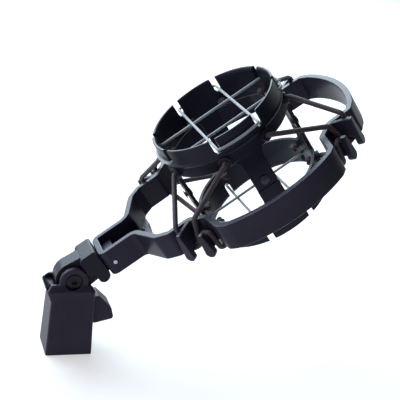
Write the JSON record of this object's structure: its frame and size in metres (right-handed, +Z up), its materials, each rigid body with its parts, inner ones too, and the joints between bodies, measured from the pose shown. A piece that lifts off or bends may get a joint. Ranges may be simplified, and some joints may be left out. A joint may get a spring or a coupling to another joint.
{
  "type": "microphone shock mount",
  "caption": "Elastic shock mount for a large microphone: a sprung basket hung on cords in a tilting frame, with a threaded stand adapter.",
  "frame": {"origin": "centre of the stand seat, at the foot of the adapter", "axes": "+Z up along the stand's thread, +X towards the basket, Y along the tilt pivot"},
  "size_m": [0.1649, 0.138, 0.1661],
  "materials": {
    "adapter_plastic": "black moulded plastic with a fine grain",
    "link_plastic": "black moulded plastic, satin",
    "frame_plastic": "black moulded plastic with a satin skin",
    "basket_plastic": "black moulded plastic, satin",
    "rivet_plastic": "black moulded plastic, a little glossier",
    "insert_brass": "turned brass",
    "blackened_steel": "black oxide",
    "pin_steel": "bright ground steel",
    "washer_nylon": "black nylon",
    "suspension_elastic": "woven cover over a rubber core",
    "grip_elastic": "fine woven cover over a rubber core"
  },
  "bodies": {
    "adapter": {"stand_adapter": "adapter_plastic", "thread_insert": "insert_brass", "pivot_bolt": "blackened_steel", "pivot_nut": "blackened_steel", "near_washer": "washer_nylon", "far_washer": "washer_nylon"},
    "frame": {"tilt_link": "link_plastic", "arm_pin": "pin_steel", "outer_frame": "frame_plastic", "upper_elastic_near_left": "suspension_elastic", "upper_elastic_near_right": "suspension_elastic", "upper_elastic_far_left": "suspension_elastic", "upper_elastic_far_right": "suspension_elastic", "lower_elastic_near_left": "suspension_elastic", "lower_elastic_near_right": "suspension_elastic", "lower_elastic_far_left": "suspension_elastic", "lower_elastic_far_right": "suspension_elastic"},
    "basket": {"upper_basket": "basket_plastic", "lower_basket": "basket_plastic", "near_strap_rivet": "rivet_plastic", "far_strap_rivet": "rivet_plastic", "left_strap_rivet": "rivet_plastic", "right_strap_rivet": "rivet_plastic", "upper_grip_cord_x": "grip_elastic", "upper_grip_cord_y": "grip_elastic", "lower_grip_cord_x": "grip_elastic", "lower_grip_cord_y": "grip_elastic"}
  },
  "joints": [
    {"name": "arm_tilt", "type": "hinge", "parent": "adapter", "child": "frame", "pos_m": [0, 0, 0.0435], "axis": [0, -1, 0], "range_deg": [-30, 100]},
    {"name": "basket_bounce", "type": "slide", "parent": "frame", "child": "basket", "axis": [-0.6211, 0, 0.7837], "range_m": [-0.005, 0.005], "stiffness_N_per_m": 900, "deforming": ["upper_elastic_near_left", "upper_elastic_near_right", "upper_elastic_far_left", "upper_elastic_far_right", "lower_elastic_near_left", "lower_elastic_near_right", "lower_elastic_far_left", "lower_elastic_far_right"]}
  ]
}
